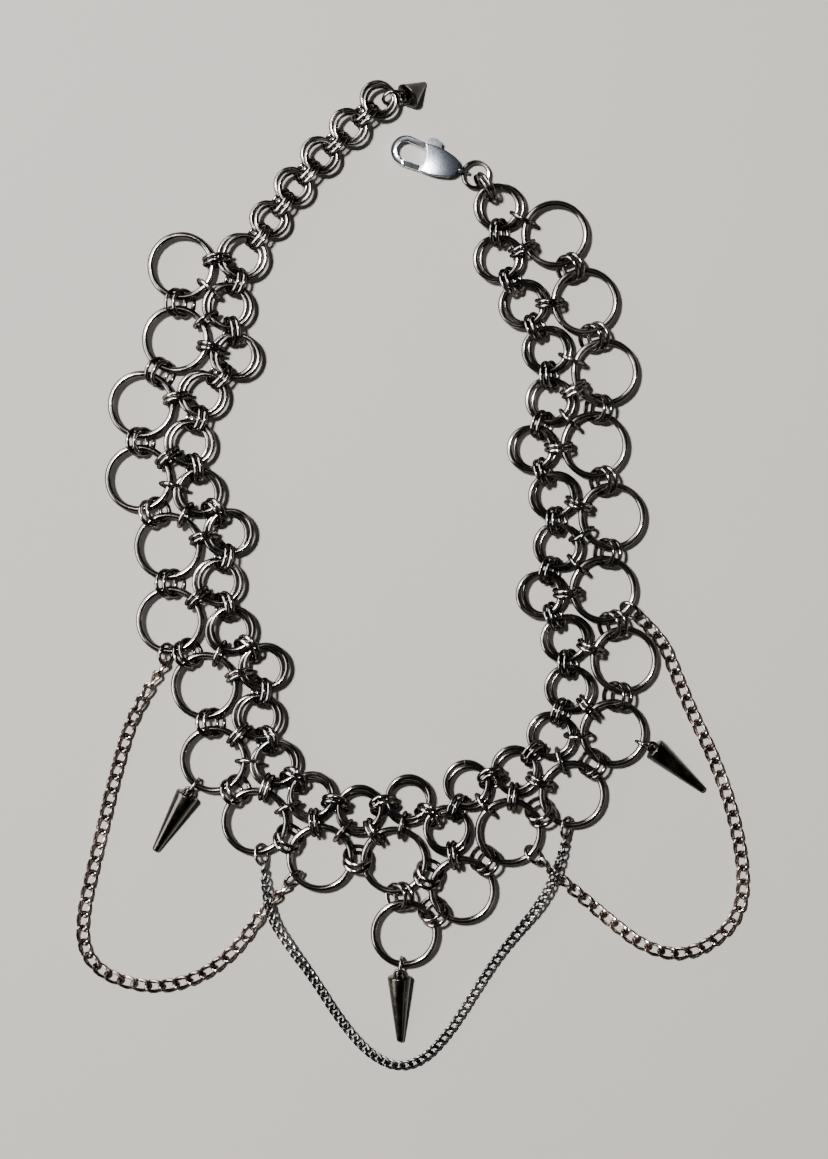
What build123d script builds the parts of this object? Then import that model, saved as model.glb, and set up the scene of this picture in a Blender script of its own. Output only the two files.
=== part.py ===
"""A chainmail choker lying open on a table: a row of paired small rings round the neck, a row of
large rings outside it, an extender, a lobster clasp, three spikes and three hanging chains.

Millimetres, +Z up, the table at z = 0, the two ends of the choker towards +Y. Every ring is a hoop
of round wire, and every hoop keeps a little air from its neighbours, as loose rings do."""
from build123d import *
import os
from math import atan, ceil, cos, pi, radians, sin, tan
import numpy as np

os.makedirs("parts", exist_ok=True)

# Rings: outer diameter and wire of each kind, and the least air between two wires
OUTER_OD = 14.7
OUTER_WIRE = 1.4
INNER_OD = 10.2
INNER_WIRE = 1.15
EXTENDER_OD = 7.8
EXTENDER_WIRE = 1.1
LINK_OD = 6.5
LINK_WIRE = 0.9
CHARM_RING_OD = 4.3
CHARM_RING_WIRE = 0.7
CONE_RING_OD = 5.6
CONE_RING_WIRE = 0.75
SWAG_RING_OD = 5.2
SWAG_RING_WIRE = 0.8
AIR = 0.13
LEAST_AIR = 0.1

# How the rings lie: sideways shift within a pair, spare room along and across the rows, and how
# far the jump rings lean from upright
PAIR_SHIFT = 1.2
PAIR_TURN = 8
OUTER_SLACK = 0.4
PAIR_SLACK = 0.55
CROSS_SLACK = 0.1
ROW_LEAN = 46
PAIR_LEAN = 30
CROSS_LEAN = 10
LEAN_WOBBLE = 4

# Spikes, the cone charm and the eyes set in their bases
SPIKE_LENGTH = 14.5
SPIKE_BASE = 5.1
SPIKE_TIP = 1.5
CONE_LENGTH = 5.7
CONE_BASE = 6.0
CONE_TIP = 0.7
EYE_OD = 2.6
EYE_WIRE = 0.7
EYE_STAND = 0.45
CONE_EYE_OD = 3.0

# Lobster clasp
CLASP_THICK = 3.2
CLASP_SLOT = 1.5
CLASP_SLOT_AT = (1.05, 0)
CLASP_SLOT_SIZE = (5.3, 9)
CLASP_NOTCH_AT = (-2.45, -1.5)
CLASP_NOTCH_SIZE = (1.8, 5)
CLASP_OUTLINE = [((-2.5, -3.1), (0.8, -3.35), (4.0, -2.8)), ((4.0, -2.8), (5.75, -0.5), (4.0, 1.9)),
                 ((4.0, 1.9), (0.8, 2.8), (-2.6, 2.95)), ((-2.6, 2.95), (-1.8, 0.1), (-2.5, -3.1))]
LEVER_THICK = 1.2
HOOK_WIDTH = 1.3
HOOK_THICK = 2.3
GATE_WIDTH = 1.15
GATE_THICK = 1.9
HOOK_RADIUS = 2.6
HOOK_CENTRE = (-6.3, 0.35)
RIVET_D = 1.1
RIVET_PLAY = 0.08
GATE_REACH = 6.35
GATE_GAP = 0.2
GATE_LINE = [(0, -0.6), (-2.2, -2.55), (-7.0, -2.3)]
GATE_TIP_AT = (-6.3, -2.4)
GATE_TIP_LENGTH = 4.0
THUMB_OUTLINE = [(-0.9, 1.0), (1.0, 1.0), (0.9, 3.2), (0.8, 4.0), (-0.4, 4.6), (-2.1, 4.4), (-2.4, 3.7),
                 (-1.1, 3.3)]
HUB_D = 3.4
SPINE_LENGTH = 4.3
SPINE_SLOPE = -9
CLASP_BEARING = -15.4
CLASP_EYE_AT = (6.6, -0.6)
CLASP_EYE_OD = 3.1
CLASP_EYE_WIRE = 0.75
CLASP_LINK_OD = 7.0
CLASP_LINK_WIRE = 0.8
CLASP_LEAN = 10

CONE_RING_BEARING = 5
CONE_RING_LEAN = -28
CONE_BEARING = 40

# Curb chain swags, as tubes of the chains' outer size
SIDE_SWAG_D = 2.7
CENTRE_SWAG_D = 2.0

# Where the rings lie, as ring number: place. The rings between are spread evenly
OUTER_PLACES = {1: (-48.5, 68.3), 2: (-48.8, 52.8), 3: (-53.5, 37.3), 4: (-55.7, 21.2), 6: (-55.7, -10.8),
                9: (-35.1, -54.1), 10: (-21.9, -63.6), 11: (-5.8, -64.4), 12: (10.2, -66.9),
                13: (25.0, -60.7), 14: (36.5, -49.7), 16: (38.2, -16.6), 17: (42.1, -1.8),
                20: (41.2, 47.9), 22: (28.9, 77.1)}
INNER_PLACES = {1: (-35.5, 73.3), 3: (-37.0, 49.6), 6: (-45.7, 16.9), 7: (-42.2, 6.0), 8: (-43.3, -4.8),
                12: (-28.7, -45.4), 13: (-20.5, -50.6), 14: (-10.6, -54.2), 15: (-1.2, -52.1),
                16: (8.3, -56.4), 18: (25.3, -47.2), 19: (29.4, -37.3), 20: (26.4, -26.1),
                22: (30.7, -4.6), 26: (29.8, 41.2), 28: (24.0, 63.8), 29: (16.9, 72.0), 30: (16.4, 84.0)}
EXTENDER_PLACES = {1: (-30.6, 81.9), 5: (-4.6, 104.6)}
PENDANT_PLACES = {1: (-0.6, -78.1)}
CLASP_RING_PLACES = {1: (12.0, 88.7)}
NECK_CENTRE = (-5.3, 17.3)

# Which inner pairs each outer ring is tied to: the first by two jump rings, the second by one
TIES = {1: (1, 2), 2: (3, 2), 3: (4,), 4: (5, 6), 5: (7, 6), 6: (8,), 7: (10, 9), 8: (11, 12),
        9: (12, 13), 10: (13, 14), 11: (14, 15), 12: (16,), 13: (18, 17), 14: (18, 19), 15: (20, 19),
        16: (21,), 17: (22, 23), 18: (24, 23), 19: (25, 26), 20: (26, 27), 21: (28,), 22: (29, 30)}

# Large ring, bearing of the small ring hung on it, and bearing of the spike
SPIKE_HANGERS = {"centre": ("pendant", -98, -89), "left": (8, -128, -120), "right": (15, -20, -40)}

# Large ring and bearing of the small ring at each end of a swag
SWAG_RING_LEAN = 50
SWAG_HANGERS = {"left_start": (6, -97), "left_end": (10, -141), "centre_start": (9, -79),
                "centre_end": (14, -99), "right_start": (17, -38), "right_end": (13, -43)}

# The swags' routes: how far along and beside the line between a swag's two ends, in shares of its
# length, and the height
SIDE_Z = SIDE_SWAG_D / 2
OVER_Z = SIDE_SWAG_D + CENTRE_SWAG_D / 2 + 0.3
CENTRE_Z = CENTRE_SWAG_D / 2
CENTRE_END_Z = CENTRE_Z + 1.2
LEFT_SWAG = [(0.078, 0.180, SIDE_Z), (0.280, 0.380, SIDE_Z), (0.512, 0.586, SIDE_Z), (0.736, 0.785, SIDE_Z),
             (0.877, 0.837, SIDE_Z), (1.007, 0.776, SIDE_Z), (1.125, 0.629, SIDE_Z), (1.163, 0.449, SIDE_Z),
             (1.123, 0.258, SIDE_Z), (1.045, 0.129, SIDE_Z)]
CENTRE_SWAG = [(-0.007, 0.139, OVER_Z), (0.056, 0.262, OVER_Z), (0.130, 0.386, CENTRE_Z),
               (0.204, 0.531, CENTRE_Z), (0.287, 0.648, CENTRE_Z), (0.378, 0.705, CENTRE_Z),
               (0.469, 0.687, CENTRE_Z), (0.561, 0.603, CENTRE_Z), (0.644, 0.496, CENTRE_Z),
               (0.732, 0.381, CENTRE_Z), (0.816, 0.291, CENTRE_Z + 0.4), (0.903, 0.197, OVER_Z),
               (0.973, 0.083, OVER_Z)]
RIGHT_SWAG = [(0.039, -0.106, SIDE_Z), (0.133, -0.190, SIDE_Z), (0.260, -0.313, SIDE_Z),
              (0.385, -0.451, SIDE_Z), (0.543, -0.589, SIDE_Z), (0.716, -0.703, SIDE_Z),
              (0.873, -0.765, SIDE_Z), (1.014, -0.734, SIDE_Z), (1.137, -0.624, SIDE_Z),
              (1.157, -0.469, SIDE_Z), (1.110, -0.318, SIDE_Z), (1.057, -0.156, SIDE_Z)]

# Worked out from the sizes above
OUTER_COUNT, INNER_COUNT, EXTENDER_COUNT = 22, 30, 5
OUTER_R = (OUTER_OD - OUTER_WIRE) / 2
INNER_R = (INNER_OD - INNER_WIRE) / 2
EXTENDER_R = (EXTENDER_OD - EXTENDER_WIRE) / 2
LINK_R = (LINK_OD - LINK_WIRE) / 2
LINK_BORE = LINK_OD - 2 * LINK_WIRE
UP = np.array([0.0, 0.0, 1.0])


def unit(vector):
    return vector / np.linalg.norm(vector)


def flat(angle):
    """Unit vector on the table at a bearing in degrees from +X."""
    return np.array([cos(radians(angle)), sin(radians(angle)), 0.0])


class Hoop:
    """A ring of round wire: its centre, its axis, its diameter over the wire and the wire."""

    def __init__(self, centre, axis, od, wire):
        self.centre = np.array(centre, float)
        self.axis = unit(np.array(axis, float))
        self.radius = (od - wire) / 2
        self.wire = wire
        across = unit(np.cross(self.axis, (0.31, 0.92, 0.17)))
        along = np.cross(self.axis, across)
        turn = np.linspace(0, 2 * pi, ceil(2 * pi * self.radius / 0.2), endpoint=False)[:, None]
        self.line = self.centre + self.radius * (np.cos(turn) * across + np.sin(turn) * along)

    def plane(self):
        return Plane(origin=tuple(self.centre), z_dir=tuple(self.axis))

    def air_to(self, other, every=1):
        """Free air between two wires."""
        gaps = np.linalg.norm(self.line[::every, None] - other.line[None, ::every], axis=2)
        return gaps.min() - (self.wire + other.wire) / 2

    def least_air(self, others):
        near = [other for other in others
                if np.linalg.norm(self.centre - other.centre) < self.radius + other.radius + 2]
        rough = min([self.air_to(other, every=4) for other in near], default=AIR)
        return rough if rough < AIR else min([self.air_to(other) for other in near], default=AIR)


def lay_out(kind, places, count):
    """Ring centres on the table, spread evenly between the given places."""
    numbers = range(1, count + 1)
    columns = [np.interp(numbers, list(places), [place[axis] for place in places.values()])
               for axis in (0, 1)]
    return {(kind, number): np.array([x, y]) for number, x, y in zip(numbers, *columns)}


def settle(centres, ties, rounds=2400):
    """Move ring centres a little at a time until each tied pair is as far apart as its tie allows.

    A tie is (first, second, least, most). In the first half of the rounds every centre is also
    drawn gently back to where it was laid."""
    laid = {name: centre.copy() for name, centre in centres.items()}
    for step in range(rounds):
        for first, second, least, most in ties:
            gap = centres[second] - centres[first]
            length = np.linalg.norm(gap)
            push = gap * (min(max(length, least), most) / length - 1) / 2
            centres[first] -= push
            centres[second] += push
        if step < rounds / 2:
            for name in centres:
                centres[name] += 0.02 * (laid[name] - centres[name])


def ring_ties(centres):
    """The ties of the rows, of the cross links, and of all other rings that must not overlap."""
    radius = {"outer": OUTER_R, "inner": INNER_R, "extender": EXTENDER_R, "pendant": OUTER_R, "clasp": LINK_R}
    wire = {"outer": OUTER_WIRE, "inner": INNER_WIRE, "extender": EXTENDER_WIRE, "pendant": OUTER_WIRE,
            "clasp": LINK_WIRE}
    single = LINK_BORE - OUTER_WIRE - 6 * AIR
    paired = LINK_BORE / 2 - 2.4 * AIR
    beside = (OUTER_WIRE + INNER_WIRE) / 2 + AIR + PAIR_SHIFT / 2
    slack = {("outer", "outer"): (single - OUTER_SLACK, single),
             ("outer", "pendant"): (single - OUTER_SLACK, single),
             ("inner", "inner"): (INNER_WIRE + AIR + PAIR_SLACK, paired),
             ("inner", "extender"): (INNER_WIRE + AIR + PAIR_SLACK, paired),
             ("extender", "extender"): (EXTENDER_WIRE + AIR + PAIR_SLACK, paired),
             ("outer", "inner"): (beside, beside + CROSS_SLACK),
             ("inner", "clasp"): (INNER_WIRE + AIR, INNER_WIRE + 2 * AIR)}
    tied = [(("outer", n), ("outer", n + 1)) for n in range(1, OUTER_COUNT)]
    tied += [(("inner", n), ("inner", n + 1)) for n in range(1, INNER_COUNT)]
    tied += [(("extender", n), ("extender", n + 1)) for n in range(1, EXTENDER_COUNT)]
    tied += [(("inner", INNER_COUNT), ("clasp", 1)), (("inner", 1), ("extender", 1)),
             (("outer", 11), ("pendant", 1)), (("outer", 12), ("pendant", 1))]
    tied += [(("outer", outer), ("inner", inner)) for outer, inners in TIES.items() for inner in inners]
    ties = []
    for first, second in tied:
        reach = radius[first[0]] + radius[second[0]]
        least, most = slack[first[0], second[0]]
        ties.append((first, second, reach + least, reach + most))
    names = list(centres)
    loose = [(first, second) for i, first in enumerate(names) for second in names[i + 1:]
             if (first, second) not in tied and (second, first) not in tied
             and np.linalg.norm(centres[first] - centres[second]) < 2 * OUTER_OD]
    for first, second in loose:
        reach = radius[first[0]] + radius[second[0]] + (wire[first[0]] + wire[second[0]]) / 2
        room = PAIR_SHIFT / 2 if first[0] != second[0] else 2 * AIR
        ties.append((first, second, reach + AIR + room, 4 * OUTER_OD))
    return ties


def link_height(lean, od=LINK_OD, wire=LINK_WIRE):
    """Height of the middle of a jump ring that leans with its foot on the table."""
    return (od - wire) / 2 * cos(radians(lean)) + wire / 2


def outward(place):
    """Unit vector on the table away from the middle of the neck opening."""
    return unit(np.array([place[0] - NECK_CENTRE[0], place[1] - NECK_CENTRE[1], 0.0]))


def row_side(centres, kind, number, count):
    """Unit vector on the table across a row at one of its rings, away from the neck opening."""
    before = centres[kind, max(number - 1, 1)]
    after = centres[kind, min(number + 1, count)]
    side = np.cross(UP, unit(np.array([*(after - before), 0.0])))
    return side if np.dot(side, outward(centres[kind, number])) > 0 else -side


def ring_pair(centre, away, od, wire, number):
    """Two small rings, one on the other, the lower one further out."""
    turn = radians(PAIR_TURN * sin(2.1 * number))
    side = np.cross(UP, away)
    shift = PAIR_SHIFT / 2 * (cos(turn) * away + sin(turn) * side)
    step = (wire + AIR) / 2 * UP
    place = np.array([centre[0], centre[1], link_height(PAIR_LEAN)])
    return [Hoop(place + shift - step, UP, od, wire), Hoop(place - shift + step, UP, od, wire)]


def jump_rings(first, second, count, lean, taken, top, od=LINK_OD, wire=LINK_WIRE):
    """Loose rings round the wires of two neighbours, each a list of one or two hoops.

    They stand across the line between the two centres and lean over towards `top`, or either way
    when it is None. The first place with enough air is taken, out of places ever further from the
    one wished for."""
    start = sum(hoop.centre for hoop in first) / len(first)
    end = sum(hoop.centre for hoop in second) / len(second)
    across = unit((end - start) * (1, 1, 0))
    along = np.cross(UP, across)
    gap = np.linalg.norm((end - start)[:2]) - first[0].radius - second[0].radius
    middle = start * (1, 1, 0) + across * (first[0].radius + gap / 2)
    sides = (1, -1) if top is None else (1,) if np.dot(along, top) > 0 else (-1,)
    tries = []
    for angle in range(max(lean - 36, 4), lean + 13, 4):
        for side in sides:
            for shift in np.arange(-1.5, 1.6, 0.25):
                for nudge in (-0.2, -0.1, 0, 0.1, 0.2):
                    cost = abs(angle - lean) / 8 + abs(shift) + abs(nudge) * 2 + (side != sides[0])
                    tries.append((cost, angle, side, shift, nudge))
    placed = []
    radius = (od - wire) / 2
    near = [hoop for hoop in taken if np.linalg.norm(hoop.centre - middle) < 2 * OUTER_R + od]
    for slot in range(count):
        best = (-9, None)
        for cost, angle, side, shift, nudge in sorted(tries):
            tilt = radians(angle)
            step = (slot - (count - 1) / 2) * (wire + AIR + 0.02) / cos(tilt)
            centre = middle + (step + shift) * along + nudge * across + link_height(angle, od, wire) * UP
            hoop = Hoop(centre, UP * sin(tilt) - along * side * cos(tilt), od, wire)
            air = hoop.least_air(near + placed)
            if air > best[0]:
                best = (air, hoop)
            if air >= AIR:
                break
        if best[0] < LEAST_AIR:
            print("little air", round(float(best[0]), 3), "at", np.round(middle, 1))
        placed.append(best[1])
    taken.extend(placed)
    return placed


def hung_ring(host, bearing, lean, taken, od, wire):
    """A ring hung on a big ring's wire and drawn out along a bearing, leaning as asked if it can."""
    out = flat(bearing)
    side = np.cross(UP, out)
    reach = (od - wire) / 2 - wire / 2 - host.wire / 2 - AIR
    best = (-9, None)
    for angle in range(lean, lean - 25, -4):
        for way in (1, -1):
            for share in (1, 0.85, 0.7, 0.5):
                centre = host.centre * (1, 1, 0) + (host.radius + share * reach) * out
                tilt = radians(abs(angle))
                axis = UP * sin(tilt) + way * side * cos(tilt)
                hoop = Hoop(centre + link_height(angle, od, wire) * UP, axis, od, wire)
                air = hoop.least_air(taken)
                if air > best[0] and best[0] < AIR:
                    best = (air, hoop)
    if best[0] < LEAST_AIR:
        print("little air", round(float(best[0]), 3), "at the ring hung at", bearing)
    taken.append(best[1])
    return best[1]


def save(piece, label):
    piece.part.label = label
    export_step(piece.part, f"parts/{label}.step")


def rings(label, hoops):
    """One node of loose rings, or of a single one."""
    with BuildPart() as piece:
        with Locations(*[hoop.plane() for hoop in hoops]):
            Torus(major_radius=hoops[0].radius, minor_radius=hoops[0].wire / 2)
    save(piece, label)


def stud(label, eye, bearing, base, tip, length, eye_od):
    """A blunt cone lying on the table, hung by the eye that stands on its base.

    `eye` is the place of the eye's middle, and the cone points away from it along the bearing."""
    slope = atan((base - tip) / 2 / length)
    axis = flat(bearing) * cos(slope) - UP * sin(slope)
    place = np.array([eye[0], eye[1], base / 2 * cos(slope) + EYE_STAND * sin(slope)])
    with BuildPart(Plane(origin=tuple(place), x_dir=tuple(np.cross(UP, axis)), z_dir=tuple(axis))) as piece:
        with Locations((0, 0, EYE_STAND)):
            Cone(bottom_radius=base / 2, top_radius=tip / 2, height=length,
                 align=(Align.CENTER, Align.CENTER, Align.MIN))
        fillet(piece.edges().filter_by(GeomType.CIRCLE), tip / 6)
        with Locations(Location((0, 0, 0), (90, 0, 0))):
            Torus(major_radius=(eye_od - EYE_WIRE) / 2, minor_radius=EYE_WIRE / 2)
    save(piece, label)


def swag_end(name, height):
    """Where a swag starts or ends: just beyond the small ring that it hangs from."""
    hoop = swag_rings[name]
    tip = hoop.centre + (hoop.radius + hoop.wire / 2 + 2 * AIR) * flat(SWAG_HANGERS[name][1])
    return np.array([tip[0], tip[1], height])


def swag(name, shares, end_z, diameter):
    """A chain lying in a curve, as a tube of its outer size on straight runs and wide arcs."""
    label = f"swag_{name}"
    start = swag_end(f"{name}_start", end_z)
    end = swag_end(f"{name}_end", end_z)
    line = end - start
    beside = np.cross(line, UP)
    route = [start, *[start * (1, 1, 0) + a * line + b * beside + z * UP for a, b, z in shares], end]
    route = [Vector(*point) for point in route]
    radii = []
    for before, here, after in zip(route, route[1:], route[2:]):
        half_turn = radians((here - before).get_angle(after - here)) / 2
        radii.append(0.45 * min((here - before).length, (after - here).length) / tan(half_turn))
    print(label, "radii", [round(radius, 1) for radius in radii])
    with BuildPart() as piece:
        with BuildLine():
            path = FilletPolyline(*route, radius=radii)
        with BuildSketch(Plane(origin=path @ 0, z_dir=path % 0)):
            Circle(diameter / 2)
        sweep()
    print(label, "length", round(path.length, 1), "volume share",
          round(piece.part.volume / (pi * diameter ** 2 / 4 * path.length), 3))
    save(piece, label)


# The rows' rings, settled and set down
centres = (lay_out("outer", OUTER_PLACES, OUTER_COUNT) | lay_out("inner", INNER_PLACES, INNER_COUNT)
           | lay_out("extender", EXTENDER_PLACES, EXTENDER_COUNT) | lay_out("pendant", PENDANT_PLACES, 1)
           | lay_out("clasp", CLASP_RING_PLACES, 1))
settle(centres, ring_ties(centres))
outer_z = link_height(ROW_LEAN - LEAN_WOBBLE)
outer = {n: Hoop((*centres["outer", n], outer_z), UP, OUTER_OD, OUTER_WIRE)
         for n in range(1, OUTER_COUNT + 1)}
inner = {n: ring_pair(centres["inner", n], row_side(centres, "inner", n, INNER_COUNT),
                      INNER_OD, INNER_WIRE, n)
         for n in range(1, INNER_COUNT + 1)}
extender = {n: ring_pair(centres["extender", n], row_side(centres, "extender", n, EXTENDER_COUNT),
                         EXTENDER_OD, EXTENDER_WIRE, n)
            for n in range(1, EXTENDER_COUNT + 1)}
pendant = Hoop((*centres["pendant", 1], outer_z), UP, OUTER_OD, OUTER_WIRE)
taken = [*outer.values(), pendant, *sum(inner.values(), []), *sum(extender.values(), [])]

# Jump rings between neighbours of a row, then across the rows
outer_links = {n: jump_rings([outer[n]], [outer[n + 1]], 2, ROW_LEAN + round(LEAN_WOBBLE * sin(1.7 * n)),
                             taken, outward(outer[n].centre)) for n in range(1, OUTER_COUNT)}
pendant_links = [jump_rings([outer[n]], [pendant], 2, ROW_LEAN, taken, None) for n in (11, 12)]
inner_links = {n: jump_rings(inner[n], inner[n + 1], 2, PAIR_LEAN + round(LEAN_WOBBLE * sin(2.3 * n)),
                             taken, -outward(inner[n][0].centre)) for n in range(1, INNER_COUNT)}
cross_links = {}
for n, pairs in TIES.items():
    cross_links[n] = []
    for count, m in zip((2, 1), pairs):
        cross_links[n] += jump_rings([outer[n]], inner[m], count, CROSS_LEAN, taken, None)
extender_links = jump_rings(inner[1], extender[1], 2, PAIR_LEAN, taken, flat(-45))
for n in range(1, EXTENDER_COUNT):
    extender_links += jump_rings(extender[n], extender[n + 1], 2, PAIR_LEAN, taken, flat(-45))


# Rings hung on the large rings for the spikes and the swags
big_rings = {**outer, "pendant": pendant}
spike_rings = {name: hung_ring(big_rings[host], bearing, 0, taken, CHARM_RING_OD, CHARM_RING_WIRE)
               for name, (host, bearing, _) in SPIKE_HANGERS.items()}
swag_rings = {name: hung_ring(outer[host], bearing, SWAG_RING_LEAN, taken, SWAG_RING_OD, SWAG_RING_WIRE)
              for name, (host, bearing) in SWAG_HANGERS.items()}

# The cone's ring, through the last extender pair and the cone's eye
eye_r = (CONE_EYE_OD - EYE_WIRE) / 2
cone_slope = atan((CONE_BASE - CONE_TIP) / 2 / CONE_LENGTH)
cone_eye_z = CONE_BASE / 2 * cos(cone_slope) + EYE_STAND * sin(cone_slope)
cone_eye = np.array([*centres["extender", EXTENDER_COUNT], cone_eye_z])
cone_eye += (EXTENDER_R + EXTENDER_WIRE + AIR + eye_r) * flat(CONE_RING_BEARING)
eye_hoop = Hoop(cone_eye, UP * cos(cone_slope) + flat(CONE_BEARING) * sin(cone_slope), CONE_EYE_OD, EYE_WIRE)
taken.append(eye_hoop)
lean = radians(CONE_RING_LEAN)
cone_ring = Hoop(cone_eye - (CONE_RING_OD - CONE_RING_WIRE) / 2 * flat(CONE_RING_BEARING),
                 UP * sin(lean) + np.cross(UP, flat(CONE_RING_BEARING)) * cos(lean),
                 CONE_RING_OD, CONE_RING_WIRE)
print("cone ring's air", round(cone_ring.least_air(taken), 2))
taken.append(cone_ring)

# The clasp's rings: one lying flat through the clasp's eye, two leaning on to the last inner pair
clasp_mid = CLASP_THICK / 2
clasp_flat = Hoop((*centres["clasp", 1], clasp_mid), UP, LINK_OD, LINK_WIRE)
taken.append(clasp_flat)
clasp_links = jump_rings(inner[INNER_COUNT], [clasp_flat], 2, CLASP_LEAN, taken, flat(45),
                         CLASP_LINK_OD, CLASP_LINK_WIRE)

for n, hoop in outer.items():
    rings(f"outer_ring_{n:02d}", [hoop])
rings("pendant_ring", [pendant])
half = INNER_COUNT // 2
rings("inner_rings_left", sum([inner[n] for n in range(1, half + 1)], []))
rings("inner_rings_right", sum([inner[n] for n in range(half + 1, INNER_COUNT + 1)], []))
rings("inner_links_left", sum([inner_links[n] for n in range(1, half + 1)], []))
rings("inner_links_right", sum([inner_links[n] for n in range(half + 1, INNER_COUNT)], []))
half = OUTER_COUNT // 2
rings("outer_links_left", sum([outer_links[n] for n in range(1, half + 1)], []))
rings("outer_links_right", sum([outer_links[n] for n in range(half + 1, OUTER_COUNT)], []))
rings("cross_links_left", sum([cross_links[n] for n in range(1, half + 1)], []))
rings("cross_links_right", sum([cross_links[n] for n in range(half + 1, OUTER_COUNT + 1)], []))
rings("pendant_links", sum(pendant_links, []))
rings("extender_rings", sum(extender.values(), []))
rings("extender_links", extender_links)
rings("cone_ring", [cone_ring])
for name, hoop in spike_rings.items():
    rings(f"spike_ring_{name}", [hoop])
for name, hoop in swag_rings.items():
    rings(f"swag_ring_{name}", [hoop])
rings("clasp_ring_flat", [clasp_flat])
rings("clasp_links", clasp_links)

# Spikes and cone
for name, (_, ring_bearing, bearing) in SPIKE_HANGERS.items():
    hoop = spike_rings[name]
    eye = hoop.centre + hoop.radius * flat(ring_bearing)
    stud(f"spike_{name}", eye, bearing, SPIKE_BASE, SPIKE_TIP, SPIKE_LENGTH, EYE_OD)
stud("cone_charm", cone_eye, CONE_BEARING, CONE_BASE, CONE_TIP, CONE_LENGTH, CONE_EYE_OD)

# The lobster clasp, drawn about its rivet with its tail along +X, lying beside its flat ring
eye_slack = (CLASP_EYE_OD / 2 - CLASP_EYE_WIRE) - LINK_WIRE / 2 - AIR
eye_at = clasp_flat.centre - (LINK_R + eye_slack) * flat(CLASP_BEARING)
tail_side = np.cross(UP, flat(CLASP_BEARING))
rivet_at = eye_at - CLASP_EYE_AT[0] * flat(CLASP_BEARING) - CLASP_EYE_AT[1] * tail_side
clasp_plane = Plane(origin=tuple(rivet_at), x_dir=tuple(flat(CLASP_BEARING)), z_dir=(0, 0, 1))

with BuildPart() as hook:
    with BuildSketch(clasp_plane):
        with BuildLine():
            bend = CenterArc(HOOK_CENTRE, HOOK_RADIUS, 90 + SPINE_SLOPE, 200 - SPINE_SLOPE)
            PolarLine(bend @ 0, SPINE_LENGTH, SPINE_SLOPE)
        trace(line_width=HOOK_WIDTH)
    extrude(amount=HOOK_THICK / 2, both=True)
    with BuildSketch(clasp_plane):
        Circle(GATE_REACH + GATE_GAP)
        with Locations((HOOK_CENTRE[0], HOOK_CENTRE[1] - HOOK_RADIUS)):
            Rectangle(2 * HOOK_RADIUS, 2 * HOOK_WIDTH, mode=Mode.INTERSECT)
    extrude(amount=HOOK_THICK / 2, both=True, mode=Mode.SUBTRACT)
    fillet(hook.edges().group_by(Axis.Z)[0] + hook.edges().group_by(Axis.Z)[-1], 0.3)

with BuildPart() as clasp_body:
    with BuildSketch(clasp_plane):
        with BuildLine():
            for arc in CLASP_OUTLINE:
                ThreePointArc(*arc)
        make_face()
    extrude(amount=CLASP_THICK / 2, both=True)
    fillet(clasp_body.edges().group_by(Axis.Z)[0] + clasp_body.edges().group_by(Axis.Z)[-1], 0.25)
    add(hook.part)
    with BuildSketch(clasp_plane):
        with Locations(CLASP_SLOT_AT):
            Rectangle(*CLASP_SLOT_SIZE)
        with Locations(CLASP_NOTCH_AT):
            Rectangle(*CLASP_NOTCH_SIZE)
    extrude(amount=CLASP_SLOT / 2, both=True, mode=Mode.SUBTRACT)
    with BuildSketch(clasp_plane):
        Circle(RIVET_D / 2 + RIVET_PLAY / 4)
    extrude(amount=CLASP_THICK, both=True, mode=Mode.SUBTRACT)
    with Locations(Plane(origin=tuple(eye_at), x_dir=(0, 0, 1), z_dir=tuple(tail_side))):
        Torus(major_radius=(CLASP_EYE_OD - CLASP_EYE_WIRE) / 2, minor_radius=CLASP_EYE_WIRE / 2)
save(clasp_body, "clasp_body")

with BuildPart() as clasp_lever:
    with BuildSketch(clasp_plane):
        Circle(HUB_D / 2)
        with BuildLine():
            Polyline(*GATE_LINE)
        trace(line_width=GATE_WIDTH)
        with BuildLine():
            Polyline(*THUMB_OUTLINE, close=True)
        make_face()
        Circle(GATE_REACH, mode=Mode.INTERSECT)
    extrude(amount=LEVER_THICK / 2, both=True)
    with BuildSketch(clasp_plane):
        Circle(GATE_REACH)
        with Locations(GATE_TIP_AT):
            Rectangle(GATE_TIP_LENGTH, GATE_WIDTH, mode=Mode.INTERSECT)
    extrude(amount=GATE_THICK / 2, both=True)
    with BuildSketch(clasp_plane):
        Circle(RIVET_D / 2 + RIVET_PLAY)
    extrude(amount=CLASP_THICK, both=True, mode=Mode.SUBTRACT)
save(clasp_lever, "clasp_lever")

with BuildPart() as clasp_rivet:
    with BuildSketch(clasp_plane):
        Circle(RIVET_D / 2)
    extrude(amount=CLASP_THICK / 2, both=True)
save(clasp_rivet, "clasp_rivet")
print("rivet at", np.round(rivet_at, 2))

# Swags
swag("left", LEFT_SWAG, SIDE_Z, SIDE_SWAG_D)
swag("centre", CENTRE_SWAG, CENTRE_END_Z, CENTRE_SWAG_D)
swag("right", RIGHT_SWAG, SIDE_Z, SIDE_SWAG_D)
print("rings", len(taken))
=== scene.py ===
import bpy
import numpy as np
from math import atan, atan2, cos, pi, radians, sin
from mathutils import Matrix, Vector


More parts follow.
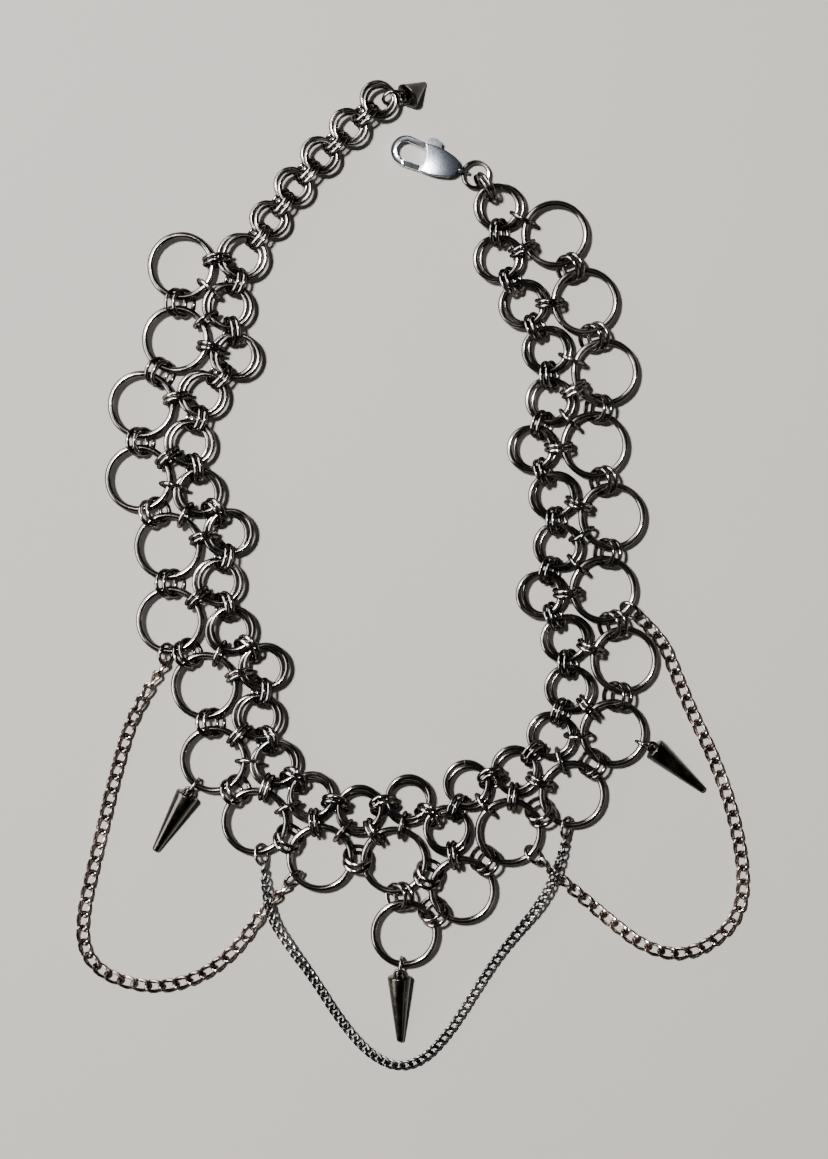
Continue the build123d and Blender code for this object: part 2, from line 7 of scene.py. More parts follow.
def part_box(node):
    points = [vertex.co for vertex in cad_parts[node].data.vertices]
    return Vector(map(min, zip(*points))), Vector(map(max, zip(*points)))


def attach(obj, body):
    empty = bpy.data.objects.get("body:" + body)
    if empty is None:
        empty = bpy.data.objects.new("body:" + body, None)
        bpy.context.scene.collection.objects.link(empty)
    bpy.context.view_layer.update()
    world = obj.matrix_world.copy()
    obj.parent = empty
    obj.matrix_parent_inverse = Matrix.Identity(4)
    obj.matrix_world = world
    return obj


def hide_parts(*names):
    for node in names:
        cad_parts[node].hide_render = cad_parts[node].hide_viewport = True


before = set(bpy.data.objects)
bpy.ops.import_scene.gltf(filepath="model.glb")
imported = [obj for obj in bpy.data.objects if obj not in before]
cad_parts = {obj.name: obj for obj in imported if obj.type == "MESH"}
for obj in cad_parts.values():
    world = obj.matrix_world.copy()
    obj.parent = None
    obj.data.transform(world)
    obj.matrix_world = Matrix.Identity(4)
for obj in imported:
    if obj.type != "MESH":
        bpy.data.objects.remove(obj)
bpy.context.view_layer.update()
MM = 0.001

# Table top, studio and camera
# The choker lies open on a plain pale table. A small lamp high at the upper left throws the shadows,
# a broad low one at the left gives the wires their long bright lines, and the rest of the room is dim.
VIEW_MIDDLE = (0.345 * MM, -0.82 * MM)
VIEW_HEIGHT = 249.2 * MM
CAMERA_HEIGHT = 620 * MM
RING_TOP = 3 * MM
TABLE_SIZE = 1.6
TABLE_COLOUR = (0.47, 0.455, 0.43, 1)
TABLE_SHADED = (0.453, 0.438, 0.414, 1)
ROOM_COLOUR = (0.55, 0.56, 0.58, 1)
ROOM_GLOW = 0.06


def nothing_selected():
    for other in list(bpy.context.selected_objects):
        other.select_set(False)


def lamp(name, place, size, power, colour, lights_table):
    """A rectangular soft lamp at a place, turned to shine at the middle of the choker.

    A lamp that doesn't light the table is seen in the polished metal alone."""
    light = bpy.data.lights.new(name, "AREA")
    light.shape = "RECTANGLE"
    light.size, light.size_y = size
    light.energy = power
    light.color = colour
    holder = bpy.data.objects.new(name, light)
    bpy.context.scene.collection.objects.link(holder)
    holder.location = place
    holder.rotation_euler = Vector(place).to_track_quat("Z", "Y").to_euler()
    holder.visible_diffuse = lights_table


class Tone:
    """A value or colour that varies over a surface: one output socket of a finish's nodes."""

    def __init__(self, finish, socket):
        self.finish = finish
        self.socket = socket

    def maths(self, operation, first, second):
        return self.finish.node("ShaderNodeMath", {0: first, 1: second}, operation=operation)

    def __add__(self, other):
        return self.maths("ADD", self, other)

    def __radd__(self, other):
        return self.maths("ADD", other, self)

    def __sub__(self, other):
        return self.maths("SUBTRACT", self, other)

    def __rsub__(self, other):
        return self.maths("SUBTRACT", other, self)

    def __mul__(self, other):
        return self.maths("MULTIPLY", self, other)

    def __rmul__(self, other):
        return self.maths("MULTIPLY", other, self)


class Finish:
    """The surface of one kind of metal or paint, built up node by node on a Principled shader."""

    def __init__(self, name):
        self.material = bpy.data.materials.new(name)
        self.material.use_nodes = True
        self.tree = self.material.node_tree
        self.shader = self.tree.nodes["Principled BSDF"]

    def node(self, kind, sockets, output=0, **settings):
        made = self.tree.nodes.new(kind)
        for setting, value in settings.items():
            setattr(made, setting, value)
        for socket, value in sockets.items():
            if isinstance(value, Tone):
                self.tree.links.new(value.socket, made.inputs[socket])
            else:
                made.inputs[socket].default_value = value
        return Tone(self, made.outputs[output])

    def place(self):
        """Where on the object a point lies, in metres."""
        return self.node("ShaderNodeTexCoord", {}, output="Object")

    def noise(self, scale, detail=2, where=None):
        where = where or self.place()
        return self.node("ShaderNodeTexNoise", {"Vector": where, "Scale": scale, "Detail": detail})

    def between(self, tone, low, high):
        """0 below low, 1 above high, and smooth between."""
        return self.node("ShaderNodeMapRange", {"Value": tone, "From Min": low, "From Max": high},
                         interpolation_type="SMOOTHSTEP")

    def mix(self, share, first, second):
        """A colour between two, by share."""
        return self.node("ShaderNodeMix", {"Factor": share, "A": first, "B": second}, output=2,
                         data_type="RGBA")

    def wear(self, **sockets):
        """Set the shader's own sockets: a Tone is linked, anything else is a plain value."""
        for socket, value in sockets.items():
            target = self.shader.inputs[socket.replace("_", " ")]
            if isinstance(value, Tone):
                self.tree.links.new(value.socket, target)
            else:
                target.default_value = value
        return self

    def relief(self, height, depth, strength=1.0):
        """Turn a height into a bump; the height is counted in the given number of metres."""
        return self.node("ShaderNodeBump", {"Height": height, "Distance": depth, "Strength": strength})


bpy.ops.object.select_all(action="DESELECT")
bpy.ops.mesh.primitive_plane_add(size=TABLE_SIZE, location=(0, 0, 0))
table = bpy.context.object
table.name = "table_top"
card = Finish("pale_card")
mottle = card.noise(9, detail=3)
tooth = card.noise(2600)
card.wear(Base_Color=card.mix(mottle, TABLE_COLOUR, TABLE_SHADED), Roughness=0.85,
          Normal=card.relief(tooth, 0.02 * MM, 0.4))
table.data.materials.append(card.material)

room = bpy.data.worlds.new("studio_room")
room.use_nodes = True
room.node_tree.nodes["Background"].inputs["Color"].default_value = ROOM_COLOUR
room.node_tree.nodes["Background"].inputs["Strength"].default_value = ROOM_GLOW
bpy.context.scene.world = room
lamp("key_window", (-0.33, 0.24, 1.10), (0.12, 0.12), 30, (1.0, 0.97, 0.94), lights_table=True)
lamp("low_left", (-0.80, 0.21, 0.52), (1.7, 0.50), 46, (1.0, 0.955, 0.945), lights_table=False)
lamp("rim_right", (0.90, -0.35, 0.40), (0.9, 0.22), 1.0, (1.0, 0.93, 0.86), lights_table=False)

eye = bpy.data.cameras.new("overhead_camera")
eye.sensor_fit = "VERTICAL"
eye.sensor_height = 24
eye.lens = 24 * (CAMERA_HEIGHT - RING_TOP) / VIEW_HEIGHT
eye.clip_start = 0.02
stand = bpy.data.objects.new("overhead_camera", eye)
bpy.context.scene.collection.objects.link(stand)
stand.location = (*VIEW_MIDDLE, CAMERA_HEIGHT)
bpy.context.scene.camera = stand

# Large rings
# Twenty-two rings of stout round wire in the outer row and one more at the front, bent round and
# butted, plated a dark gunmetal that is rubbed lighter in patches and scratched along the wire.
LARGE_OD = 14.7 * MM
LARGE_WIRE = 1.4 * MM
JOINT_GAP = 0.03 * MM
MERGE_WITHIN = 0.002 * MM
SMOOTH_UP_TO = radians(40)
EDGE_TINT = (0.14, 0.135, 0.13, 1)
SEAM_TURN = 137.5
GUNMETAL_DARK = (0.125, 0.118, 0.115, 1)
GUNMETAL_RUBBED = (0.320, 0.292, 0.275, 1)


def choose(piece, wanted):
    """Go into edit mode with those faces selected whose middle passes the test."""
    nothing_selected()
    piece.select_set(True)
    bpy.context.view_layer.objects.active = piece
    mesh = piece.data
    mesh.vertices.foreach_set("select", [False] * len(mesh.vertices))
    mesh.edges.foreach_set("select", [False] * len(mesh.edges))
    for face in mesh.polygons:
        face.select = wanted(face.center)
    bpy.context.tool_settings.mesh_select_mode = (False, False, True)
    bpy.ops.object.mode_set(mode="EDIT")


def merged_copy(node):
    """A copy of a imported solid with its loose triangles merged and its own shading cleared."""
    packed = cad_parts[node]
    copy = packed.copy()
    copy.data = packed.data.copy()
    bpy.context.scene.collection.objects.link(copy)
    choose(copy, lambda middle: True)
    bpy.ops.mesh.remove_doubles(threshold=MERGE_WITHIN)
    bpy.ops.mesh.customdata_custom_splitnormals_clear()
    bpy.ops.object.mode_set(mode="OBJECT")
    return copy


def ring_places(*nodes):
    """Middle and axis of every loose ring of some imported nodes."""
    places = []
    for node in nodes:
        copy = merged_copy(node)
        choose(copy, lambda middle: True)
        bpy.ops.mesh.separate(type="LOOSE")
        bpy.ops.object.mode_set(mode="OBJECT")
        for ring in list(bpy.context.selected_objects):
            points = np.array([vertex.co for vertex in ring.data.vertices])
            middle = points.mean(axis=0)
            axis = np.linalg.svd(points - middle, full_matrices=False)[2][2]
            if tuple(np.round(axis[[2, 1, 0]], 3)) < (0, 0, 0):
                axis = -axis
            places.append((Vector(middle), Vector(axis)))
            bpy.data.objects.remove(ring)
    return sorted(places, key=lambda place: (round(place[0].x, 5), round(place[0].y, 5), place[0].z))


def butted_ring(od, wire, steps, sides):
    """A wire ring lying flat round the origin, with a hair-thin joint on +X."""
    nothing_selected()
    bpy.ops.mesh.primitive_torus_add(major_segments=steps, minor_segments=sides, minor_radius=wire / 2,
                                     major_radius=(od - wire) / 2, generate_uvs=True)
    ring = bpy.context.object
    step = 2 * pi / steps
    choose(ring, lambda middle: 0 < atan2(middle.y, middle.x) < step)
    bpy.ops.mesh.delete(type="FACE")
    bpy.ops.object.mode_set(mode="OBJECT")
    moved = step - JOINT_GAP / ((od - wire) / 2)
    turned = Matrix.Rotation(-moved, 4, "Z")
    for vertex in ring.data.vertices:
        if abs(atan2(vertex.co.y, vertex.co.x) - step) < step / 4:
            vertex.co = turned @ vertex.co
    choose(ring, lambda middle: False)
    bpy.ops.mesh.select_mode(type="EDGE")
    bpy.ops.mesh.select_non_manifold()
    bpy.ops.mesh.fill_holes(sides=0)
    bpy.ops.mesh.select_mode(type="FACE")
    bpy.ops.object.mode_set(mode="OBJECT")
    return ring


def laid(maker, places, name):
    """Copies of a piece made round the origin, one at each place, joined under one name."""
    copies = []
    for number, (middle, axis) in enumerate(places):
        copy = maker.copy()
        copy.data = maker.data.copy()
        bpy.context.scene.collection.objects.link(copy)
        stood = axis.to_track_quat("Z", "Y").to_matrix().to_4x4()
        seam = Matrix.Rotation(radians(SEAM_TURN * number), 4, "Z")
        copy.matrix_world = Matrix.Translation(middle) @ stood @ seam
        copies.append(copy)
    return joined(copies, name)


def joined(pieces, name):
    nothing_selected()
    for piece in pieces:
        piece.select_set(True)
    bpy.context.view_layer.objects.active = pieces[0]
    bpy.ops.object.transform_apply(location=True, rotation=True, scale=True)
    if len(pieces) > 1:
        bpy.ops.object.join()
    whole = bpy.context.view_layer.objects.active
    whole.name = name
    whole.data.name = name
    bpy.ops.object.shade_smooth_by_angle(angle=SMOOTH_UP_TO)
    return whole


def dress(piece, finish, slot, body, *nodes):
    """Give a piece its finish, let it ride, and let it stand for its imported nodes."""
    piece.data.materials.clear()
    piece.data.materials.append(finish.material)
    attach(piece, body)
    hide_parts(*nodes)


def gunmetal(name, dark, rubbed, patch, polish):
    """Dark plated wire: rubbed patches, fine scratches along the wire and a slightly uneven gloss."""
    metal = Finish(name)
    cloud = metal.noise(1 / patch, detail=3)
    speck = metal.noise(5200)
    around = metal.node("ShaderNodeTexCoord", {}, output="UV")
    stretched = metal.node("ShaderNodeMapping", {"Vector": around, "Scale": (5, 46, 1)})
    drawn = metal.noise(1, detail=3, where=stretched)
    rub = metal.between(cloud + (drawn - 0.5) * 0.5, 0.50, 0.72)
    haze = metal.between(speck, 0.35, 0.75)
    metal.wear(Metallic=1.0, Specular_Tint=EDGE_TINT,
               Base_Color=metal.mix(rub, dark, rubbed),
               Roughness=polish + haze * 0.06 + rub * 0.05,
               Normal=metal.relief(drawn * 0.7 + speck * 0.3, 0.010 * MM, 0.45))
    return metal


large_metal = gunmetal("large_ring_gunmetal", GUNMETAL_DARK, GUNMETAL_RUBBED, 7 * MM, 0.12)
large_maker = butted_ring(LARGE_OD, LARGE_WIRE, 72, 16)
for number in range(1, 23):
    node = f"outer_ring_{number:02d}"
    ring = laid(large_maker, ring_places(node), f"large_ring_{number:02d}")
    dress(ring, large_metal, "large_rings", "choker", node)
front_ring = laid(large_maker, ring_places("pendant_ring"), "large_ring_front")
dress(front_ring, large_metal, "large_rings", "choker", "pendant_ring")
bpy.data.objects.remove(large_maker)

# Paired rings
# The row round the neck and the extender are pairs of smaller rings lying one on the other, of the
# same dark plated wire, a touch smoother for lying against the skin.
PAIRED_OD = 10.2 * MM
PAIRED_WIRE = 1.15 * MM
EXTENDER_OD = 7.8 * MM
EXTENDER_WIRE = 1.1 * MM

paired_metal = gunmetal("paired_ring_gunmetal", (0.095, 0.090, 0.088, 1), GUNMETAL_RUBBED, 5 * MM, 0.11)
for node, name, od, wire in (("inner_rings_left", "paired_rings_left", PAIRED_OD, PAIRED_WIRE),
                             ("inner_rings_right", "paired_rings_right", PAIRED_OD, PAIRED_WIRE),
                             ("extender_rings", "paired_rings_extender", EXTENDER_OD, EXTENDER_WIRE)):
    maker = butted_ring(od, wire, 56, 12)
    dress(laid(maker, ring_places(node), name), paired_metal, "paired_rings", "choker", node)
    bpy.data.objects.remove(maker)

# Jump rings
# Small rings of thinner wire hold everything together: two between neighbours of a row, and twos
# and ones across the rows. They are the brightest, since every edge rubs on another ring.
SMALL_OD = 6.5 * MM
SMALL_WIRE = 0.9 * MM
CLASP_LINK_OD = 7.0 * MM
CLASP_LINK_WIRE = 0.8 * MM

small_metal = gunmetal("jump_ring_gunmetal", (0.130, 0.122, 0.118, 1), (0.36, 0.325, 0.30, 1), 4 * MM, 0.11)
small_maker = butted_ring(SMALL_OD, SMALL_WIRE, 36, 9)
for node in ("outer_links_left", "outer_links_right", "pendant_links", "inner_links_left",
             "inner_links_right", "cross_links_left", "cross_links_right", "extender_links",
             "clasp_ring_flat"):
    name = "jump_rings_" + node.replace("_links", "").replace("_ring", "")
    dress(laid(small_maker, ring_places(node), name), small_metal, "small_rings", "choker", node)
bpy.data.objects.remove(small_maker)
clasp_maker = butted_ring(CLASP_LINK_OD, CLASP_LINK_WIRE, 40, 10)
dress(laid(clasp_maker, ring_places("clasp_links"), "jump_rings_clasp"), small_metal, "small_rings", "choker",
      "clasp_links")
bpy.data.objects.remove(clasp_maker)

# Hanging rings
# Each spike, the cone and each end of a chain hangs on a small ring of its own. The rings differ in
# size, and are finished like the jump rings.
CHARM_RING_OD = 4.3 * MM
CHARM_RING_WIRE = 0.7 * MM
CONE_RING_OD = 5.6 * MM
CONE_RING_WIRE = 0.75 * MM
CHAIN_RING_OD = 5.2 * MM
CHAIN_RING_WIRE = 0.8 * MM

hangers = {}
for od, wire, row, nodes in (
        (CHARM_RING_OD, CHARM_RING_WIRE, "spike_ring", ("centre", "left", "right")),
        (CONE_RING_OD, CONE_RING_WIRE, "cone_ring", ("",)),
        (CHAIN_RING_OD, CHAIN_RING_WIRE, "swag_ring", ("left_start", "left_end", "centre_start", "centre_end",
                                                       "right_start", "right_end"))):
    maker = butted_ring(od, wire, 36, 10)
    for ending in nodes:
        node = f"{row}_{ending}".strip("_")
        hangers[node] = ring_places(node)[0]
        hanger = laid(maker, [hangers[node]], node.replace("ring", "hanger"))
        dress(hanger, small_metal, "small_rings", "choker", node)
    bpy.data.objects.remove(maker)

# Spikes and cone
# Turned metal cones with a rounded shoulder and a blunt tip, finished in deep glossy black, each
# with a small wire eye set in its base. The cone at the end of the extender is short and wide.
SPIKE_HANGERS = (("centre", -98, -89), ("left", -128, -120), ("right", -20, -40))
SPIKE_SHOULDER = 0.45 * MM
SPIKE_LENGTH = 14.5 * MM
SPIKE_BASE = 5.1 * MM
SPIKE_TIP = 1.5 * MM
CONE_BEARINGS = (5, 40)
CONE_SHOULDER = 0.3 * MM
CONE_LENGTH = 5.7 * MM
CONE_BASE = 6.0 * MM
CONE_TIP = 0.7 * MM
EYE_OD = 2.6 * MM
CONE_EYE_OD = 3.0 * MM
EYE_WIRE = 0.7 * MM
EYE_STAND = 0.45 * MM


def bearing(angle):
    return Vector((cos(radians(angle)), sin(radians(angle)), 0))


def rim(piece, height, radius, rounding, steps):
    """Round the edge loop of a turned piece at a height and radius."""
    choose(piece, lambda middle: False)
    bpy.ops.object.mode_set(mode="OBJECT")
    points = piece.data.vertices
    for edge in piece.data.edges:
        ends = [points[index].co for index in edge.vertices]
        edge.select = all(abs(end.z - height) < 1e-6 and abs(end.xy.length - radius) < 1e-5 for end in ends)
    bpy.context.tool_settings.mesh_select_mode = (False, True, False)
    bpy.ops.object.mode_set(mode="EDIT")
    bpy.ops.mesh.bevel(offset=rounding, segments=steps, profile=0.5)
    bpy.ops.object.mode_set(mode="OBJECT")


def turned_cone(name, eye_at, way, length, base, tip, eye_od, shoulder):
    """A blunt cone lying on the table, pointing away from its eye along a bearing."""
    nothing_selected()
    bpy.ops.mesh.primitive_cone_add(vertices=64, radius1=base / 2, radius2=tip / 2, depth=length,
                                    location=(0, 0, EYE_STAND + length / 2))
    cone = bpy.context.object
    bpy.ops.object.transform_apply(location=True, rotation=True, scale=True)
    rim(cone, EYE_STAND, base / 2, shoulder, 6)
    rim(cone, EYE_STAND + length, tip / 2, tip / 3, 5)
    nothing_selected()
    bpy.ops.mesh.primitive_torus_add(major_segments=32, minor_segments=12, minor_radius=EYE_WIRE / 2,
                                     major_radius=(eye_od - EYE_WIRE) / 2, rotation=(pi / 2, 0, 0))
    ring = bpy.context.object
    slope = atan((base - tip) / 2 / length)
    axis = bearing(way) * cos(slope) - Vector((0, 0, sin(slope)))
    across = Vector((0, 0, 1)).cross(axis).normalized()
    turn = Matrix((across, axis.cross(across), axis)).transposed().to_4x4()
    place = Vector((eye_at.x, eye_at.y, base / 2 * cos(slope) + EYE_STAND * sin(slope)))
    for piece in (cone, ring):
        piece.matrix_world = Matrix.Translation(place) @ turn @ piece.matrix_world
    return joined([cone, ring], name)


black = Finish("glossy_black")
smear = black.between(black.noise(420, detail=3), 0.42, 0.68)
grain = black.noise(7500, detail=1)
black.wear(Metallic=1.0, Base_Color=black.mix(smear, (0.034, 0.032, 0.029, 1), (0.056, 0.052, 0.045, 1)),
           Roughness=0.19 + smear * 0.10, Normal=black.relief(grain, 0.004 * MM, 0.4))
for side, ring_way, way in SPIKE_HANGERS:
    middle = hangers[f"spike_ring_{side}"][0]
    eye_at = middle + bearing(ring_way) * (CHARM_RING_OD - CHARM_RING_WIRE) / 2
    spike = turned_cone(f"turned_spike_{side}", eye_at, way, SPIKE_LENGTH, SPIKE_BASE, SPIKE_TIP, EYE_OD,
                        SPIKE_SHOULDER)
    dress(spike, black, "black_metal", "choker", f"spike_{side}")
cone_at = hangers["cone_ring"][0] + bearing(CONE_BEARINGS[0]) * (CONE_RING_OD - CONE_RING_WIRE) / 2
cone = turned_cone("turned_cone", cone_at, CONE_BEARINGS[1], CONE_LENGTH, CONE_BASE, CONE_TIP, CONE_EYE_OD,
                   CONE_SHOULDER)
dress(cone, black, "black_metal", "choker", "cone_charm")

# Hanging chains
# Two open curb chains hang at the sides and a finer, tighter one at the front. A curb link is an
# oval of wire twisted along its length, so that each lies nearly flat and hooks the next squarely.
SIDE_LINK = dict(pitch=3.0 * MM, width=2.9 * MM, wire=0.72 * MM, slack=0.10 * MM, twist=98, steps=24,
                 sides=8)
FINE_LINK = dict(pitch=1.70 * MM, width=2.2 * MM, wire=0.60 * MM, slack=0.10 * MM, twist=104, steps=20,
                 sides=7)
TABLE_AIR = 0.02 * MM
SIDE_REST = 0.80
FINE_REST = 0.62
FINE_OVER = 3.0
LEFT_ROUTE = [(0.078, 0.180), (0.280, 0.380), (0.512, 0.586), (0.736, 0.785), (0.877, 0.837), (1.007, 0.776),
              (1.125, 0.629), (1.163, 0.449), (1.123, 0.258), (1.045, 0.129)]
FINE_ROUTE = [(-0.007, 0.139, FINE_OVER), (0.056, 0.262, FINE_OVER), (0.130, 0.386, FINE_REST),
              (0.204, 0.531, FINE_REST), (0.287, 0.648, FINE_REST), (0.378, 0.705, FINE_REST),
              (0.469, 0.687, FINE_REST), (0.561, 0.603, FINE_REST), (0.644, 0.496, FINE_REST),
              (0.732, 0.381, FINE_REST), (0.816, 0.291, 1.0), (0.903, 0.197, FINE_OVER),
              (0.973, 0.083, FINE_OVER)]
RIGHT_ROUTE = [(0.039, -0.106), (0.133, -0.190), (0.260, -0.313), (0.385, -0.451), (0.543, -0.589),
               (0.716, -0.703), (0.873, -0.765), (1.014, -0.734), (1.137, -0.624), (1.157, -0.469),
               (1.110, -0.318), (1.057, -0.156)]
RING_TO_ROUTE = 0.26 * MM
RING_TO_LINK = 0.03 * MM
LINK_ROLL = radians(5)
TURNED_LINKS = 5


def curb_link(pitch, width, wire, slack, twist, steps, sides, hand):
    """One twisted oval link along X round the origin; hand is 1 or -1 for the way of its twist."""
    nothing_selected()
    bpy.ops.mesh.primitive_torus_add(major_segments=steps, minor_segments=sides, minor_radius=wire / 2,
                                     major_radius=(width - wire) / 2, generate_uvs=True)
    link = bpy.context.object
    stretch = pitch + 2 * wire + slack - width
    mesh = link.data
    for vertex in mesh.vertices:
        if vertex.co.x > wire / 100:
            vertex.co.x += stretch / 2
        elif vertex.co.x < -wire / 100:
            vertex.co.x -= stretch / 2
    wring = link.modifiers.new("wring", "SIMPLE_DEFORM")
    wring.deform_method = "TWIST"
    wring.deform_axis = "X"
    wring.angle = radians(twist) * hand
    nothing_selected()
    link.select_set(True)
    bpy.context.view_layer.objects.active = link
    bpy.ops.object.modifier_apply(modifier="wring")
    return link


def route_line(points):
    """Points along the smooth line through a chain's route, and how far along each lies."""
    curve = bpy.data.curves.new("chain_route", "CURVE")
    curve.dimensions = "3D"
    spline = curve.splines.new("NURBS")
    spline.points.add(len(points) - 1)
    for point, place in zip(spline.points, points):
        point.co = (*place, 1)
    spline.order_u = 3
    spline.use_endpoint_u = True
    spline.resolution_u = 40
    holder = bpy.data.objects.new("chain_route", curve)
    bpy.context.scene.collection.objects.link(holder)
    bpy.context.view_layer.update()
    line = bpy.data.meshes.new_from_object(holder)
    walked = np.array([vertex.co for vertex in line.vertices])
    bpy.data.objects.remove(holder)
    bpy.data.meshes.remove(line)
    run = np.concatenate([[0], np.cumsum(np.linalg.norm(np.diff(walked, axis=0), axis=1))])
    return walked, run


def hooked(hanger, way, kind):
    """Where a chain's first link hooks a hanging ring, and the direction of the ring's wire there."""
    middle, axis = hangers[hanger]
    reach = (CHAIN_RING_OD - CHAIN_RING_WIRE) / 2 - (CHAIN_RING_WIRE + kind["wire"]) / 2 - RING_TO_LINK
    joint = middle + bearing(way) * (reach + (kind["wire"] + kind["slack"]) / 2)
    return joint, axis.cross(bearing(way)).normalized()


def route_end(hanger, way):
    """Where a chain's route starts or ends on the table, just beyond its hanging ring."""
    place = hangers[hanger][0] + bearing(way) * (CHAIN_RING_OD / 2 + RING_TO_ROUTE)
    return Vector((place.x, place.y, 0))


def curb_chain(name, kind, start, start_way, shares, end, end_way, hand):
    """A curb chain from one hanging ring to another.

    Its route is given in shares of the line between its ends: along it, beside it, and a height."""
    first, first_wire = hooked(start, start_way, kind)
    last, last_wire = hooked(end, end_way, kind)
    line = route_end(end, end_way) - route_end(start, start_way)
    beside = line.cross(Vector((0, 0, 1)))
    points = [route_end(start, start_way) + line * a + beside * b + Vector((0, 0, height * MM))
              for a, b, height in shares]
    walked, run = route_line([first, *points, last])
    count = round(run[-1] / kind["pitch"])
    marks = np.linspace(0, run[-1], count + 1)
    joints = [Vector([np.interp(mark, run, walked[:, axis]) for axis in range(3)]) for mark in marks]
    maker = curb_link(**kind, hand=hand)
    links = []
    for number, (near, far) in enumerate(zip(joints, joints[1:])):
        along = (far - near).normalized()
        across = Vector((0, 0, 1)).cross(along).normalized()
        up = along.cross(across)
        roll = LINK_ROLL * sin(2.4 * number) * hand
        for place, wire, tip in ((number, first_wire, -1), (count - 1 - number, last_wire, 1)):
            lying = atan2(wire.dot(up), wire.dot(across))
            wished = lying + pi / 2 - hand * tip * radians(kind["twist"]) / 2
            wished -= pi * round(wished / pi)
            roll += wished * max(0, 1 - place / TURNED_LINKS)
        turn = Matrix((along, across, up)).transposed().to_4x4()
        link = maker.copy()
        link.data = maker.data.copy()
        bpy.context.scene.collection.objects.link(link)
        set_down = Matrix.Translation((near + far) / 2) @ turn @ Matrix.Rotation(roll, 4, "X")
        lowest = min((set_down @ vertex.co).z for vertex in link.data.vertices)
        link.matrix_world = Matrix.Translation((0, 0, max(0, TABLE_AIR - lowest))) @ set_down
        links.append(link)
    bpy.data.objects.remove(maker)
    return joined(links, name)


side_metal = gunmetal("side_chain_metal", (0.150, 0.125, 0.115, 1), (0.42, 0.35, 0.32, 1), 9 * MM, 0.17)
fine_metal = gunmetal("fine_chain_metal", (0.115, 0.115, 0.120, 1), (0.36, 0.35, 0.35, 1), 12 * MM, 0.19)
left_chain = curb_chain("curb_chain_left", SIDE_LINK, "swag_ring_left_start", -97,
                        [(x, y, SIDE_REST) for x, y in LEFT_ROUTE], "swag_ring_left_end", -141, 1)
dress(left_chain, side_metal, "side_chain", "choker", "swag_left")
right_chain = curb_chain("curb_chain_right", SIDE_LINK, "swag_ring_right_start", -38,
                         [(x, y, SIDE_REST) for x, y in RIGHT_ROUTE], "swag_ring_right_end", -43, 1)
dress(right_chain, side_metal, "side_chain", "choker", "swag_right")
fine_chain = curb_chain("curb_chain_centre", FINE_LINK, "swag_ring_centre_start", -79, FINE_ROUTE,
                        "swag_ring_centre_end", -99, 1)
dress(fine_chain, fine_metal, "fine_chain", "choker", "swag_centre")

# Lobster clasp
# Cast body with a hook, a sprung lever turning on a rivet, and an eye at the tail. The domed plate is left
# with a fine satin grain and the edges are polished. A painted highlight makes the plate's colour brightest
# towards the hook, fading to painted shade towards the tail.
PLATE_TOP = 3.19 * MM
DOME_FOOT = 2.6 * MM
DOME_DROP = 0.16 * MM
DOME_REACH = 3.2 * MM
DOME_FROM_PIN = (1.9 * MM, -0.5 * MM, 0)
DOME_CUTS = 5
CLASP_CROWN = 0.22 * MM
CROWN_REACH = 4.8 * MM
# Painted highlight and painted shade: the plate's colour runs from the first, near the hook, to the second,
# towards the tail.
PLATE_PAINTED_HIGHLIGHT = (0.38, 0.41, 0.45, 1)
PLATE_PAINTED_SHADE = (0.115, 0.130, 0.160, 1)
PLATE_PITS = (0.07, 0.075, 0.085, 1)
CLASP_GRAIN = 0.018 * MM
CROWN_FROM_PIN = (1.0 * MM, -4.5 * MM, 1.6 * MM)
PLATE_FROM_PIN = -2.75 * MM
CLASP_BEARING = -15.4


def crowned(piece):
    """Dome the top of the clasp's plate, highest at its middle."""
    choose(piece, lambda middle: middle.z > PLATE_TOP and (middle - pin_at).dot(clasp_axis) > PLATE_FROM_PIN)
    bpy.ops.mesh.subdivide(number_cuts=DOME_CUTS)
    bpy.ops.object.mode_set(mode="OBJECT")
    for vertex in piece.data.vertices:
        share = min(1, max(0, (vertex.co.z - DOME_FOOT) / (PLATE_TOP - DOME_FOOT)))
        away = (vertex.co - dome_at).xy.length / DOME_REACH
        vertex.co.z -= share * share * (3 - 2 * share) * DOME_DROP * away * away
    return piece


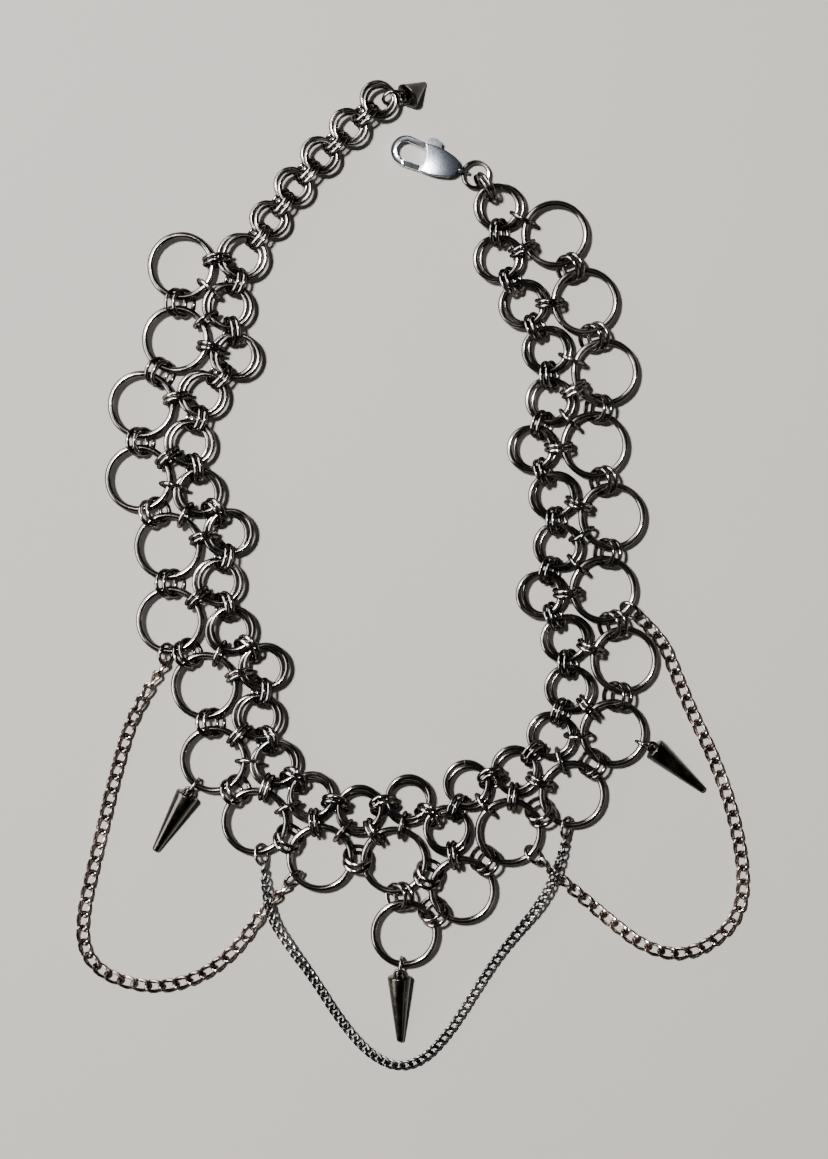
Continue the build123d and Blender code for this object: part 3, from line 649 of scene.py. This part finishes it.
def evened(piece):
    """Let the flat faces of the plate rule the shading of the small roundings beside them."""
    nothing_selected()
    piece.select_set(True)
    bpy.context.view_layer.objects.active = piece
    plate = piece.vertex_groups.new(name="plate")
    plate.add([vertex.index for vertex in piece.data.vertices
               if (vertex.co - pin_at).dot(clasp_axis) > PLATE_FROM_PIN], 1.0, "REPLACE")
    weights = piece.modifiers.new("plate_shading", "WEIGHTED_NORMAL")
    weights.vertex_group = "plate"
    weights.keep_sharp = True
    weights.weight = 100
    bpy.ops.object.modifier_apply(modifier="plate_shading")
    return piece


pin_at = sum(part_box("clasp_rivet"), Vector((0, 0, 0))) / 2
clasp_axis = bearing(CLASP_BEARING)
dome_at = pin_at + Vector(DOME_FROM_PIN)
crown_at = pin_at + Vector(CROWN_FROM_PIN)
steel = Finish("satin_steel")
normal = steel.node("ShaderNodeNewGeometry", {}, output="Normal")
facing = steel.node("ShaderNodeSeparateXYZ", {"Vector": normal}, output="Z")
face = steel.between(steel.node("ShaderNodeMath", {0: facing}, operation="ABSOLUTE"), 0.80, 0.97)
along = steel.node("ShaderNodeVectorMath", {0: steel.place(), 1: clasp_axis}, output="Value",
                   operation="DOT_PRODUCT")
edge = pin_at.dot(clasp_axis) + PLATE_FROM_PIN
face = face * steel.between(along, edge, edge + 0.5 * MM)
away = steel.node("ShaderNodeVectorMath", {0: steel.place(), 1: crown_at}, output="Value",
                  operation="DISTANCE")
away = away * (1 / CROWN_REACH)
cast = steel.noise(2600, detail=3)
cloudy = steel.noise(380, detail=2)
# Painted highlight: the plate is coloured lighter towards the hook and darker towards the tail, the border
# blurred by cloudy noise.
painted_shade_share = steel.between(along + (cloudy - 0.5) * 3.0 * MM, edge + 0.2 * MM, edge + 4.8 * MM)
pitted = steel.between(cast, 0.50, 0.66) * face
steel.wear(Metallic=1.0,
           Base_Color=steel.mix(pitted * 0.75, steel.mix(painted_shade_share, PLATE_PAINTED_HIGHLIGHT, PLATE_PAINTED_SHADE), PLATE_PITS),
           Roughness=0.10 + face * 0.18 + cloudy * 0.04,
           Normal=steel.relief((1 - away * away) * CLASP_CROWN * face + cast * face * CLASP_GRAIN, 1.0))
for node, name, body in (("clasp_body", "clasp_casting", "choker"),
                         ("clasp_lever", "clasp_latch", "lever"),
                         ("clasp_rivet", "clasp_pin", "choker")):
    dress(evened(joined([crowned(merged_copy(node))], name)), steel, "clasp_steel", body, node)
